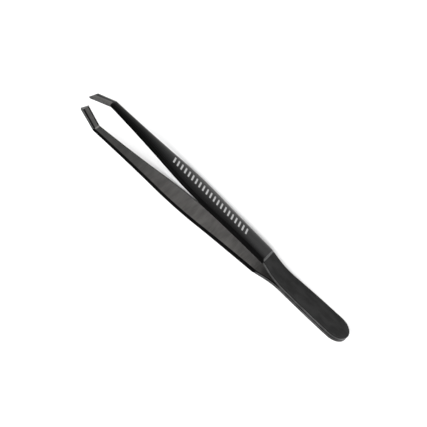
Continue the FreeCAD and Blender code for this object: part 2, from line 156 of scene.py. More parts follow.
class Shading:
    """Adds and joins the shader nodes of one material."""

    def __init__(self, name: str, on_blade: bool = True) -> None:
        """Starts a material with a Principled shader.

        Args:
            name: The material's name.
            on_blade: Whether places are read from the blade's attribute, in millimetres, or else from
                the object's own coordinates, in metres.
        """
        self.material = bpy.data.materials.new(name)
        self.material.use_nodes = True
        self.tree = self.material.node_tree
        self.shader = self.tree.nodes["Principled BSDF"]
        if on_blade:
            self.spot = self.add("ShaderNodeAttribute", {}, "Vector", attribute_name=PLACE)
        else:
            self.spot = self.add("ShaderNodeTexCoord", {}, "Object")

    def put(self, target: Socket, value: Value) -> None:
        """Links a socket to an input, or sets the input to a plain value.

        Args:
            target: The input.
            value: The socket or the plain value.
        """
        if isinstance(value, bpy.types.NodeSocket):
            self.tree.links.new(value, target)
        else:
            target.default_value = value

    def add(self, kind: str, inputs: dict[str | int, Value], output: str | int, **settings: str) -> Socket:
        """Adds one node.

        Args:
            kind: The node's type.
            inputs: A socket or a plain value for each input, by name or number.
            output: The name or number of the output that is wanted.
            settings: The node's own properties.

        Returns:
            The output.
        """
        node = self.tree.nodes.new(kind)
        for name, value in settings.items():
            setattr(node, name, value)
        for name, value in inputs.items():
            self.put(node.inputs[name], value)
        return node.outputs[output]

    def dress(self, **inputs: Value) -> None:
        """Sets the shader's inputs, written with underscores for spaces.

        Args:
            inputs: A socket or a plain value for each input.
        """
        for name, value in inputs.items():
            self.put(self.shader.inputs[name.replace("_", " ")], value)

    def part(self, way: Way) -> Socket:
        """The place's number in one direction."""
        return self.add("ShaderNodeSeparateXYZ", {0: self.spot}, way.value)

    def math(self, operation: str, first: Value, second: Value = 0.0) -> Socket:
        """One arithmetic operation's result."""
        return self.add("ShaderNodeMath", {0: first, 1: second}, 0, operation=operation)

    def off(self, value: Socket, middle: float) -> Socket:
        """How far a number is from a middle, either way."""
        return self.math("ABSOLUTE", self.math("SUBTRACT", value, middle))

    def noise(self, scale: Scale, detail: float = 3.0) -> Socket:
        """Cloudy noise between 0 and 1.

        Args:
            scale: Cells to a unit of length, each way.
            detail: How many finer layers it has.

        Returns:
            The noise.
        """
        place = self.add("ShaderNodeVectorMath", {0: self.spot, 1: scale}, "Vector", operation="MULTIPLY")
        return self.add("ShaderNodeTexNoise", {"Vector": place, "Scale": 1.0, "Detail": detail}, "Fac")

    def span(self, value: Socket, source: Point, result: Point) -> Socket:
        """Maps a number from one range to another, clamped and eased.

        Args:
            value: The number.
            source: The range that it is read over.
            result: What the two ends of that range become.

        Returns:
            The mapped number.
        """
        inputs = dict(zip(("From Min", "From Max", "To Min", "To Max"), source + result))
        inputs["Value"] = value
        return self.add("ShaderNodeMapRange", inputs, "Result", interpolation_type="SMOOTHSTEP")

    def mix(self, first: Socket, second: Socket, share: float) -> Socket:
        """Two noises added up, with a share of the first and the rest of the second."""
        rest = self.math("MULTIPLY", second, 1 - share)
        return self.math("ADD", self.math("MULTIPLY", first, share), rest)

    def blend(self, share: Socket, first: Value, second: Value) -> Socket:
        """A colour a share of the way from the first to the second."""
        inputs = {"Factor": share, "A": first, "B": second}
        return self.add("ShaderNodeMix", inputs, "Result", data_type="RGBA")

    def scaled(self, colour: Socket, share: Socket) -> Socket:
        """A colour made brighter or darker."""
        return self.add("ShaderNodeVectorMath", {0: colour, "Scale": share}, "Vector", operation="SCALE")

    def relief(self, height: Socket, depth: float, below: Socket | None = None) -> Socket:
        """A bumped normal.

        Args:
            height: The height, between 0 and 1.
            depth: How deep a height of 1 is, in metres.
            below: The normal to start from.

        Returns:
            The normal.
        """
        inputs = {"Distance": depth, "Height": height}
        if below is not None:
            inputs["Normal"] = below
        return self.add("ShaderNodeBump", inputs, "Normal")


def grey(level: float, warmth: float = 0.0) -> tuple[float, float, float, float]:
    """A near-neutral colour.

    Args:
        level: Its linear brightness.
        warmth: How much redder and less blue it is, as a share.

    Returns:
        Linear red, green, blue and alpha.
    """
    return level * (1 + warmth), level, level * (1 - warmth), 1.0


@dataclass(frozen=True)
class StrokeRow:
    """A plain row of slanted strokes etched on the outer face, all alike, in millimetres."""

    start: float = 38.6
    count: int = 21
    pitch: float = 1.36
    width: float = 0.5
    height: float = 2.3
    lean: float = 0.22
    side_softness: float = 0.12
    end_softness: float = 0.1
    wander: float = 0.12  # how far the sides wander
    wander_scale: Scale = (5, 5, 5)
    colour: float = 0.33
    dulling: float = 0.3  # added to the coat's roughness
    depth: float = 3e-6  # metres

    def mask(self, shading: Shading, face: float) -> Socket:
        """Where the strokes are.

        Args:
            shading: The material that they are drawn in.
            face: How far through the blade the outer face begins.

        Returns:
            1 on a stroke, 0 elsewhere, soft at the rim.
        """
        along, through, across = map(shading.part, Way)
        wander = shading.math("MULTIPLY", shading.noise(self.wander_scale, 1), self.wander)
        slid = shading.math("ADD", along, shading.math("MULTIPLY", across, self.lean))
        count = shading.math("DIVIDE", shading.math("SUBTRACT", slid, self.start), self.pitch)
        aside = shading.math("MULTIPLY", shading.off(shading.math("FRACT", count), 0.5), self.pitch)
        aside = shading.math("ADD", aside, wander)
        stroke = shading.span(aside, (self.width / 2, self.width / 2 + self.side_softness), (1.0, 0.0))
        ends = (self.height / 2, self.height / 2 + self.end_softness)
        tall = shading.span(shading.math("ABSOLUTE", across), ends, (1.0, 0.0))
        reach = self.count * self.pitch / 2
        inside = shading.math("LESS_THAN", shading.off(slid, self.start + reach), reach)
        outside = shading.math("GREATER_THAN", through, face)
        return shading.math(
            "MULTIPLY", shading.math("MULTIPLY", stroke, tall), shading.math("MULTIPLY", inside, outside)
        )


@dataclass(frozen=True)
class GlossCoat:
    """Gloss black coat of the crowned arm, with hairline scratches and, on one blade, etched strokes."""

    strokes: StrokeRow | None = None
    black: Point = (0.0015, 0.0027)
    head_on: float = 0.1  # share of a clear lacquer's reflection that is left when seen head on
    ior: Point = (1.5, 1.18)
    thinning: Point = (55.0, 80.0)  # millimetres along the blade, where the lacquer thins towards the tip
    sheen: Point = (0.17, 0.3)  # roughness between and in the scratches
    mottle: Point = (-0.02, 0.03)  # added to it in patches
    hair_scale: Scale = (0.35, 3, 9)
    hair_range: Point = (0.52, 0.72)
    hair_depth: float = -1.2e-6
    cloud_scale: Scale = (0.5, 0.8, 0.8)
    ripple_scale: Scale = (2.2, 2.2, 2.2)
    ripple_depth: float = 2.5e-6
    face: float = 0.85  # millimetres through the blade

    def material(self, name: str) -> bpy.types.Material:
        """Makes the finish.

        Args:
            name: The material's name.

        Returns:
            The material.
        """
        shading = Shading(name)
        hair = shading.span(shading.noise(self.hair_scale, 2), self.hair_range, FULL)
        cloud = shading.noise(self.cloud_scale)
        colour = shading.blend(cloud, *map(grey, self.black))
        mottle = shading.span(cloud, BROAD, self.mottle)
        rough = shading.math("ADD", mottle, shading.span(hair, FULL, self.sheen))
        level = shading.relief(shading.noise(self.ripple_scale, 2), self.ripple_depth)
        level = shading.relief(hair, self.hair_depth, level)
        if self.strokes:
            mark = self.strokes.mask(shading, self.face)
            colour = shading.blend(mark, colour, grey(self.strokes.colour))
            rough = shading.math("ADD", rough, shading.math("MULTIPLY", mark, self.strokes.dulling))
            level = shading.relief(mark, -self.strokes.depth, level)
        shading.dress(
            Base_Color=colour,
            Roughness=rough,
            IOR=shading.span(shading.part(Way.ALONG), self.thinning, self.ior),
            Specular_Tint=grey(self.head_on),
            Normal=level,
        )
        return shading.material


@dataclass(frozen=True)
class SatinFace:
    """Flat inner face: dark steel with fine grinding lines across the blade, with painted light and shade
    along it and a painted highlight across the bend.
    """

    steel: Point = (0.075, 0.12)
    warmth: float = 0.035
    sheen: Point = (0.3, 0.44)
    leaf: Point = (28.0, 33.0)  # millimetres along the blade, where the coated leaf gives way to steel
    leaf_share: float = -1.1
    # Painted light and shade: the steel is painted brighter near the shoulder and darker towards the tip, for
    # the light that reaches the face there.
    painted_light_fade: Point = (48.0, 82.0)  # where the face goes from painted light near the shoulder to painted shade towards the tip
    painted_light_fade_shares: Point = (1.45, 0.34)
    crease: float = 0.0  # millimetres along the blade of the bend, where a highlight is painted across it
    # Painted highlight across the bend: how far it reaches either side, and how much brighter it is.
    crease_edge: Point = (0.1, 0.35)
    crease_highlight_share: float = 1.6
    tip_start: float = 0.5  # past the crease, where the tip's own tone is reached
    tip_share: float = 0.28
    line_scale: Scale = (7, 0.5, 0.25)
    line_depth: float = 4e-6
    band_scale: Scale = (0.45, 0.2, 0.12)
    metallic: float = 0.3
    specular: float = 0.1

    def material(self, name: str) -> bpy.types.Material:
        """Makes the finish.

        Args:
            name: The material's name.

        Returns:
            The material.
        """
        shading = Shading(name)
        lines = shading.noise(self.line_scale, 4)
        tone = shading.span(shading.mix(lines, shading.noise(self.band_scale, 2), 0.5), MIDDLE, FULL)
        colour = shading.blend(tone, *(grey(level, self.warmth) for level in self.steel))
        along = shading.part(Way.ALONG)
        # painted light and shade along the face: brighter near the shoulder, darker towards the tip
        share = shading.span(along, self.painted_light_fade, self.painted_light_fade_shares)
        for extra in (
            shading.span(along, self.leaf, (self.leaf_share, 0.0)),
            # painted highlight across the bend
            shading.span(shading.off(along, self.crease), self.crease_edge, (self.crease_highlight_share, 0.0)),
            shading.span(along, (self.crease, self.crease + self.tip_start), (0.0, self.tip_share)),
        ):
            share = shading.math("ADD", share, extra)
        shading.dress(
            Base_Color=shading.scaled(colour, share),
            Metallic=self.metallic,
            Roughness=shading.span(lines, BROAD, self.sheen),
            Specular_IOR_Level=self.specular,
            Normal=shading.relief(lines, self.line_depth),
        )
        return shading.material


@dataclass(frozen=True)
class MatteCoat:
    """Matte black coat of the heel and the leaf, with a fine even grain and rubbed patches."""

    black: Point = (0.005, 0.009)
    sheen: Point = (0.6, 0.46)  # roughness untouched and where rubbed
    specular: float = 0.1
    grain_scale: Scale = (9, 9, 9)
    grain_share: float = 0.4
    grain_depth: float = 6e-6
    rub_scale: Scale = (0.3, 0.5, 0.5)

    def material(self, name: str) -> bpy.types.Material:
        """Makes the finish.

        Args:
            name: The material's name.

        Returns:
            The material.
        """
        shading = Shading(name)
        grain = shading.noise(self.grain_scale, 2)
        rubbed = shading.noise(self.rub_scale, 4)
        tone = shading.span(shading.mix(grain, rubbed, self.grain_share), MIDDLE, FULL)
        shading.dress(
            Base_Color=shading.blend(tone, *map(grey, self.black)),
            Roughness=shading.span(rubbed, MIDDLE, self.sheen),
            Specular_IOR_Level=self.specular,
            Normal=shading.relief(grain, self.grain_depth),
        )
        return shading.material


@dataclass(frozen=True)
class ShearedEdge:
    """Narrow edges of the strip: tumbled steel under a thin coat, streaked through the thickness."""

    steel: Point = (0.03, 0.065)
    sheen: Point = (0.3, 0.45)
    specular: float = 0.25
    streak_scale: Scale = (6, 0.4, 0.4)
    streak_depth: float = 5e-6
    wear_scale: Scale = (0.4, 1.5, 0.3)
    tone_range: Point = (0.15, 0.35)  # of the two noises multiplied

    def material(self, name: str) -> bpy.types.Material:
        """Makes the finish.

        Args:
            name: The material's name.

        Returns:
            The material.
        """
        shading = Shading(name)
        streaks = shading.noise(self.streak_scale)
        worn = shading.math("MULTIPLY", streaks, shading.noise(self.wear_scale, 2))
        shading.dress(
            Base_Color=shading.blend(shading.span(worn, self.tone_range, FULL), *map(grey, self.steel)),
            Specular_IOR_Level=self.specular,
            Roughness=shading.span(streaks, BROAD, self.sheen),
            Normal=shading.relief(streaks, self.streak_depth),
        )
        return shading.material


@dataclass(frozen=True)
class GroundSteel:
    """Bare ground steel of the gripping edges, lined along the slant."""

    steel: Point = (0.08, 0.16)
    warmth: float = 0.01
    sheen: Point = (0.24, 0.38)
    line_scale: Scale = (16, 10, 0.6)
    line_depth: float = 3e-6

    def material(self, name: str) -> bpy.types.Material:
        """Makes the finish.

        Args:
            name: The material's name.

        Returns:
            The material.
        """
        shading = Shading(name)
        lines = shading.noise(self.line_scale)
        shading.dress(
            Base_Color=shading.blend(lines, *(grey(level, self.warmth) for level in self.steel)),
            Metallic=1.0,
            Roughness=shading.span(lines, BROAD, self.sheen),
            Normal=shading.relief(lines, self.line_depth),
        )
        return shading.material


@dataclass(frozen=True)
class WeldSteel:
    """Fused metal of the spot welds: dull steel with a heat tint."""

    steel: Point = (0.24, 0.4)
    warmth: Point = (0.12, 0.03)
    sheen: Point = (0.35, 0.55)
    pit_scale: Scale = (2500, 2500, 2500)
    pit_depth: float = 1e-5

    def material(self, name: str) -> bpy.types.Material:
        """Makes the finish.

        Args:
            name: The material's name.

        Returns:
            The material.
        """
        shading = Shading(name, on_blade=False)
        pits = shading.noise(self.pit_scale)
        shading.dress(
            Base_Color=shading.blend(pits, *map(grey, self.steel, self.warmth)),
            Metallic=1.0,
            Roughness=shading.span(pits, BROAD, self.sheen),
            Normal=shading.relief(pits, self.pit_depth),
        )
        return shading.material


@dataclass(frozen=True)
class WhitePaper:
    """Plain white surface under the tweezers."""

    white: Point = (0.86, 0.88)
    roughness: float = 0.9
    fibre_scale: Scale = (150, 150, 150)

    def material(self, name: str) -> bpy.types.Material:
        """Makes the finish.

        Args:
            name: The material's name.

        Returns:
            The material.
        """
        shading = Shading(name, on_blade=False)
        fibre = shading.noise(self.fibre_scale, 4)
        shading.dress(Base_Color=shading.blend(fibre, *map(grey, self.white)), Roughness=self.roughness)
        return shading.material


# ---------------------------------------------------------------- the blade's form


@dataclass(frozen=True)
class Stretch:
    """One straight run or arc of a path."""

    start: float  # distance along the path
    length: float
    place: Point
    heading: float
    curve: float  # 1 / radius, signed; 0 on a straight run

    def at(self, distance: float) -> tuple[Point, float]:
        """Place and heading at a distance along the path.

        Args:
            distance: Distance from the path's start; past either end a stretch runs on as it is.

        Returns:
            The place (x, y) and the heading in radians.
        """
        gone = distance - self.start
        (x, y), turn = self.place, self.heading + self.curve * gone
        if not self.curve:
            return (x + gone * math.cos(turn), y + gone * math.sin(turn)), turn
        x += (math.sin(turn) - math.sin(self.heading)) / self.curve
        y += (math.cos(self.heading) - math.cos(turn)) / self.curve
        return (x, y), turn


class Path:
    """A line seen from above: straight runs between corners, each corner rounded by its own radius."""

    def __init__(self, corners: list[Point], radii: list[float]) -> None:
        """Lays out the runs and arcs.

        Args:
            corners: Ends and corners in order.
            radii: Rounding of each corner between the ends.
        """
        self.stretches: list[Stretch] = []
        place, gone = corners[0], 0.0
        for i, (corner, after) in enumerate(zip(corners[1:], corners[2:] + [None])):
            heading = math.atan2(corner[1] - place[1], corner[0] - place[0])
            run = math.dist(place, corner)
            if after:
                turn = math.atan2(after[1] - corner[1], after[0] - corner[0]) - heading
                run -= radii[i] * math.tan(abs(turn) / 2)
            self.stretches.append(Stretch(gone, run, place, heading, 0.0))
            gone += run
            if after:
                start = self.stretches[-1].at(gone)[0]
                arc = Stretch(gone, radii[i] * abs(turn), start, heading, math.copysign(1 / radii[i], turn))
                self.stretches.append(arc)
                gone += arc.length
                place = arc.at(gone)[0]
        self.length = gone

    def at(self, distance: float) -> tuple[Point, float]:
        """Place and heading at a distance from the start.

        Args:
            distance: Distance along the path; past either end it runs on straight.

        Returns:
            The place (x, y) and the heading in radians.
        """
        for stretch in self.stretches:
            if distance <= stretch.start + stretch.length:
                break
        return stretch.at(distance)

    def distance_at(self, x: float) -> float:
        """The distance along the path at which it reaches a given X.

        Args:
            x: The place along X.

        Returns:
            The distance.
        """
        low, high = -self.length, 2 * self.length
        for _ in range(HALVINGS):
            middle = (low + high) / 2
            low, high = (middle, high) if self.at(middle)[0][0] < x else (low, middle)
        return (low + high) / 2


@dataclass(frozen=True)
class BladeForm:
    """Sizes of one blade, drawn as the left one; what the model's boxes give is read from the frame."""

    heel_end: float
    weld_front: float
    shoulder: float
    tip_end: float
    heel_width: float
    neck_width: float
    belly_width: float
    middle_height: float
    sheet: float
    shoulder_out: float  # inner face of the arm from the middle plane, at the shoulder
    sweep_radius: float = 24 * MM
    return_radius: float = 1.5 * MM
    shoulder_width: float = 6.75 * MM
    belly_reach: float = 24.5 * MM
    belly_radius: float = 90 * MM
    flank_radius: float = 300 * MM
    bend_width: float = 2.9 * MM
    tip_width: float = 3.1 * MM
    tip_reach: float = 6.5 * MM
    bend_out: float = 4.52 * MM
    edge_out: float = 2.15 * MM
    slant: float = math.radians(12)
    closing: float = math.radians(1.764)
    crease: float = 0.3 * MM  # inside radius of the bend
    ramp: float = 0.6 * MM
    shoulder_thick: float = 1.45 * MM
    bend_thick: float = 1.0 * MM
    tip_thick: float = 0.85 * MM
    bow: float = 0.42 * MM
    shoulder_edge: float = 0.75 * MM
    belly_edge: float = 0.66 * MM
    bend_edge: float = 0.62 * MM
    tip_edge: float = 0.78 * MM
    crown_reach: float = 0.8  # share of the way to the belly by which the crown is round
    crown_power: Point = (4.5, 2.0)  # boxy at the shoulder, round from there on
    inner_round: float = 0.1 * MM
    outer_round: float = 0.12 * MM
    land: float = 0.8 * MM
    lip: float = 0.2 * MM
    bevel: float = 0.6 * MM
    border: float = 0.25 * MM
    inner_border: float = 0.35 * MM
    tip_border: float = 0.65 * MM
    tip_painted_shade: float = 1.6 * MM  # strip along the lower edge of the tip's outer face kept in the dark gloss coat as painted shade
    seam: float = 0.006 * MM  # coat between the heel plates, each side

    @classmethod
    def from_frame(cls) -> "BladeForm":
        """Reads what the model's boxes give.

        Returns:
            The form of the left blade.
        """
        (heel_low, heel_high), (leaf_low, leaf_high), (arm_low, arm_high) = map(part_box, Side.LEFT.nodes)
        return cls(
            heel_end=heel_low.x,
            weld_front=heel_high.x,
            shoulder=leaf_high.x,
            tip_end=arm_high.x,
            heel_width=heel_high.z - heel_low.z,
            neck_width=leaf_high.z - leaf_low.z,
            belly_width=arm_high.z - arm_low.z,
            middle_height=(heel_low.z + heel_high.z) / 2,
            sheet=heel_high.y,
            shoulder_out=arm_low.y,
        )

    @property
    def round_centre(self) -> float:
        """X of the centre of the heel's round end."""
        return self.heel_end + self.heel_width / 2

    @property
    def belly(self) -> float:
        """X of the widest place of the arm."""
        return self.shoulder + self.belly_reach

    @property
    def bend(self) -> float:
        """X of the bend."""
        return self.tip_end - self.tip_reach

    @property
    def land_start(self) -> Point:
        """Where the gripping land begins."""
        return self.tip_end - self.land, self.edge_out - self.land * math.tan(self.closing)

    def path(self) -> Path:
        """The inner face seen from above, before the land is ground.

        Returns:
            The path from the heel's end to the tip.
        """
        splay = math.atan2(self.bend_out - self.shoulder_out, self.bend - self.shoulder)
        front_x = self.shoulder + self.return_radius * math.sin(splay)
        front_y = self.shoulder_out - self.return_radius * math.cos(splay)
        run, drop = front_x - self.weld_front, self.sweep_radius - front_y
        both = self.sweep_radius + self.return_radius
        slope = math.asin(both / math.hypot(run, drop)) - math.atan2(drop, run)
        first = (self.weld_front + self.sweep_radius * math.tan(slope / 2), 0.0)
        back = self.return_radius * math.tan((slope - splay) / 2)
        second = (self.shoulder - back * math.cos(splay), self.shoulder_out - back * math.sin(splay))
        land_x, land_y = self.land_start
        lean = (self.bend_out - land_y) / (land_x - self.bend)
        end = (self.tip_end, land_y - self.land * lean)
        corners = [(self.heel_end, 0.0), first, second, (self.bend, self.bend_out), end]
        return Path(corners, [self.sweep_radius, self.return_radius, self.crease])

    def half_width(self, x: float) -> float:
        """Half the width of the blade at a place along X, ahead of the heel's round end.

        Args:
            x: The place.

        Returns:
            Half the width.
        """
        if x <= self.weld_front:
            rise = (self.heel_width - self.neck_width) / 2
            radius = ((self.weld_front - self.round_centre) ** 2 + rise**2) / (2 * rise)
            ahead = max(x - self.round_centre, 0.0)
            return self.heel_width / 2 - corner_drop(radius - ahead, radius)
        if x <= self.shoulder:
            share = (x - self.weld_front) / (self.shoulder - self.weld_front)
            return lerp(self.neck_width, self.shoulder_width, share) / 2
        if x >= self.bend:
            return lerp(self.bend_width, self.tip_width, (x - self.bend) / self.tip_reach) / 2
        waist, belly = self.shoulder_width / 2, self.belly_width / 2
        both = (self.belly_reach**2 + (belly - waist) ** 2) / (2 * (belly - waist))
        rear_radius = both - self.belly_radius
        touch = self.shoulder + self.belly_reach * rear_radius / both
        if x <= touch:
            return waist + rear_radius - math.sqrt(rear_radius**2 - (x - self.shoulder) ** 2)
        centre, bend = (self.belly, belly - self.belly_radius), (self.bend, self.bend_width / 2)
        reach = math.dist(centre, bend)
        both = self.belly_radius + self.flank_radius
        opening = math.acos((reach**2 + both**2 - self.flank_radius**2) / (2 * reach * both))
        towards = math.atan2(bend[1] - centre[1], bend[0] - centre[0]) + opening
        if x <= centre[0] + self.belly_radius * math.cos(towards):
            return centre[1] + math.sqrt(self.belly_radius**2 - (x - centre[0]) ** 2)
        flank = (centre[0] + both * math.cos(towards), centre[1] + both * math.sin(towards))
        return flank[1] - math.sqrt(self.flank_radius**2 - (x - flank[0]) ** 2)

    def peak(self, x: float) -> float:
        """Thickness along the crown of the arm and the tip.

        Args:
            x: Place along X.

        Returns:
            The thickness.
        """
        share = (x - self.shoulder) / (self.bend - self.shoulder)
        if share > 1:
            return lerp(self.bend_thick, self.tip_thick, (x - self.bend) / self.tip_reach)
        share = max(share, 0.0)
        return lerp(self.shoulder_thick, self.bend_thick, share) + self.bow * 4 * share * (1 - share)

    def edge(self, x: float) -> float:
        """Thickness along the two long edges of the arm and the tip.

        Args:
            x: Place along X.

        Returns:
            The thickness.
        """
        if x < self.belly:
            return lerp(self.shoulder_edge, self.belly_edge, smooth((x - self.shoulder) / self.belly_reach))
        if x < self.bend:
            return lerp(self.belly_edge, self.bend_edge, smooth((x - self.belly) / (self.bend - self.belly)))
        return lerp(self.bend_edge, self.tip_edge, (x - self.bend) / self.tip_reach)

    def outer(self, x: float, across: float, half: float, to_end: float) -> float:
        """Outer face, measured out from the inner face's line.

        Args:
            x: Place along X.
            across: Place across the blade, from its centre line.
            half: Half the blade's width there.
            to_end: Distance to the slanted end.

        Returns:
            The distance out.
        """
        flat = self.sheet - corner_drop(half - abs(across), self.outer_round)
        rise = smooth((x - self.shoulder) / self.ramp)
        if not rise:
            return flat
        power = lerp(*self.crown_power, smooth((x - self.shoulder) / (self.belly_reach * self.crown_reach)))
        swell = math.sqrt(max(1 - min(abs(across) / half, 1.0) ** power, 0.0))
        crowned = self.edge(x) + (self.peak(x) - self.edge(x)) * swell
        lip = self.inner(self.tip_end, 0.0, half) + self.lip
        return min(lerp(flat, crowned, rise), lip + to_end * (self.tip_thick - self.lip) / self.bevel)

    def inner(self, x: float, across: float, half: float) -> float:
        """Inner face, measured out from its own line: 0 but for the seam, the rounded edges and the land.

        Args:
            x: Place along X.
            across: Place across the blade, from its centre line.
            half: Half the blade's width there.

        Returns:
            The distance out.
        """
        rounded = corner_drop(half - abs(across), self.inner_round)
        land_x, land_y = self.land_start
        lean = math.atan2(self.bend_out - land_y, land_x - self.bend)
        ground = max(x - land_x, 0.0) * math.sin(lean + self.closing) / math.cos(self.closing)
        return max(rounded + (self.seam if x < self.weld_front else 0.0), ground)

    def out(self, outside: bool, x: float, across: float, half: float, to_end: float) -> float:
        """Either face, measured out from the inner face's line, as outer() and inner() give it."""
        return self.outer(x, across, half, to_end) if outside else self.inner(x, across, half)


@dataclass
class Row:
    """One line of places across the blade, from its lower edge to its upper edge."""

    distance: float  # along the path, at the upper edge
    half: float
    fan: float | None = None  # angle off the centre line, in the heel's round end
    cut: float = 0.0  # share of the tip's slant that the row takes


# ---------------------------------------------------------------- sub-assemblies


@dataclass
class Blade:
    """One blade of the tweezers, as one mesh with its finishes."""

    side: Side
    form: BladeForm
    strokes: StrokeRow | None = None
    fan_rows: int = 28
    rows_along: tuple[int, ...] = (24, 44, 16, 130, 8)  # heel, leaf, ramp, arm, approach to the bend
    approach: float = 0.5 * MM  # where rows draw together, behind the bend
    tight: float = 0.1 * MM  # and draw closest, either side of it
    bend_rows: int = 10
    tip_rows: int = 40
    land_rows: int = 16
    edge_steps: int = 8
    edge_zone: float = 0.46 * MM
    face_steps: int = 35
    passes: int = 2  # rounds of placing a point
    tip_passes: int = 12  # the same on the tip, where the slant and the land depend on each other
    sharp: float = math.radians(28)
    name: str = field(init=False)

    def __post_init__(self) -> None:
        """Names the blade after its side and lays out its path."""
        self.name = f"{self.side.word}_blade"
        self.route = self.form.path()
        self.tip_start = self.route.distance_at(self.form.bend)

    def finishes(self) -> dict[Zone, bpy.types.Material]:
        """The finishes of the blade.

        Returns:
            A material for each zone.
        """
        word = self.side.word
        return {
            Zone.GLOSS: GlossCoat(self.strokes).material(f"{word}_gloss_coat"),
            Zone.INNER: SatinFace(crease=self.tip_start / MM).material(f"{word}_satin_face"),
            Zone.MATTE: MatteCoat().material(f"{word}_matte_coat"),
            Zone.SHEARED: ShearedEdge().material(f"{word}_sheared_edge"),
            Zone.GROUND: GroundSteel().material(f"{word}_ground_steel"),
        }

    def rows(self) -> list[Row]:
        """Every row from the heel's end to the tip.

        Returns:
            The rows in order.
        """
        form, route = self.form, self.route
        turns = [math.pi / 2 * i / self.fan_rows for i in range(self.fan_rows)]
        fan = [Row(0.0, form.heel_width / 2, fan=turn) for turn in turns]
        stops = [form.round_centre, form.weld_front, form.shoulder, form.shoulder + form.ramp]
        stops += [form.bend - self.approach, form.bend - self.tight]
        places = []
        for start, end, count in zip(stops, stops[1:], self.rows_along):
            places += [route.distance_at(lerp(start, end, i / count)) for i in range(count)]
        stops = [form.bend - self.tight, form.bend + self.tight, form.land_start[0], form.tip_end]
        before, after, land, end = map(route.distance_at, stops)
        places += [lerp(before, after, i / self.bend_rows) for i in range(self.bend_rows)]
        places += [lerp(after, land, i / self.tip_rows) for i in range(self.tip_rows)]
        along = [Row(s, form.half_width(route.at(s)[0][0])) for s in places]
        shares = [i / self.land_rows for i in range(self.land_rows + 1)]
        return fan + along + [Row(lerp(land, end, cut), form.tip_width / 2, cut=cut) for cut in shares]

    def places_across(self, half: float) -> list[float]:
        """Places across one row: close together at both edges.

        Args:
            half: Half the row's width.

        Returns:
            Signed distances from the centre line.
        """
        zone = min(self.edge_zone, half / 3)
        steps = [zone * (1 - math.cos(math.pi / 2 * i / self.edge_steps)) for i in range(self.edge_steps)]
        middle = [
            (half - zone) * math.sin(math.pi * (i / (self.face_steps - 1) - 0.5))
            for i in range(self.face_steps)
        ]
        return [inset - half for inset in steps] + middle + [half - inset for inset in reversed(steps)]

    def ring(self, row: Row) -> tuple[list[Vector], list[Vector]]:
        """The closed line around the blade at one row: inner face upwards, then outer face downwards.

        Args:
            row: The row.

        Returns:
            The points in the model's frame, and their places on the straightened blade in millimetres.
        """
        form, points, places = self.form, [], []
        laterals = self.places_across(row.half)
        for outside in (False, True):
            for across in reversed(laterals) if outside else laterals:
                if row.fan is None:
                    distance, out, (x, y) = self.settle(row, across, outside)
                    z = across
                else:
                    x, z = form.round_centre - abs(across) * math.cos(row.fan), across * math.sin(row.fan)
                    out = form.out(outside, x, across, row.half, form.tip_end)
                    y, distance = out, x - form.heel_end
                points.append(Vector((x, self.side.value * y, form.middle_height + z)))
                places.append(Vector((distance, out, z)) / MM)
        return points, places

    def settle(self, row: Row, across: float, outside: bool) -> tuple[float, float, Point]:
        """Finds one point of a row ahead of the heel's round end, seen from above.

        A row of the gripping land turns and steepens until the last one lies in the slanted end.

        Args:
            row: The row.
            across: The point's place across the blade.
            outside: Whether it is on the outer face.

        Returns:
            Its distance along the path, its distance out from it, and its place.
        """
        form, out = self.form, 0.0
        slant = (form.tip_width / 2 - across) * math.tan(form.slant)
        heading = self.route.at(row.distance)[1]
        for _ in range(self.tip_passes if row.distance > self.tip_start else self.passes):
            back = row.cut * (slant - out * math.sin(heading)) / math.cos(heading)
            (x, y), heading = self.route.at(row.distance - back)
            x, y = x - out * math.sin(heading), y + out * math.cos(heading)
            out = form.out(outside, x, across, row.half, form.tip_end - slant - x)
        return row.distance - back, out, (x, y)

    def zone(self, x: float, rise: float, half: float, part: Part, to_end: float, land: bool) -> Zone:
        """The finish at one place of the blade.

        Args:
            x: Place along X.
            rise: Distance up from the lower side edge.
            half: Half the blade's width there.
            part: Where on the blade it is.
            to_end: Distance to the slanted end.
            land: Whether the gripping land runs past there.

        Returns:
            The finish.
        """
        form, inset = self.form, min(rise, 2 * half - rise)
        on_tip = x > form.bend + form.crease
        if part is Part.INSIDE:
            if land:
                return Zone.GROUND
            return Zone.INNER if inset > (form.tip_border if on_tip else form.inner_border) else Zone.GLOSS
        if part is Part.WALL:
            return Zone.SHEARED if x < form.shoulder or on_tip else Zone.GLOSS
        if x < form.shoulder:
            return Zone.MATTE if inset > form.border else Zone.GLOSS
        if x < form.shoulder + form.ramp:
            return Zone.SHEARED if inset > form.border else Zone.GLOSS
        # On the tip's outer face, the strip along the lower edge stays dark gloss coat as painted shade.
        return Zone.INNER if on_tip and to_end > form.bevel and rise > form.tip_painted_shade else Zone.GLOSS

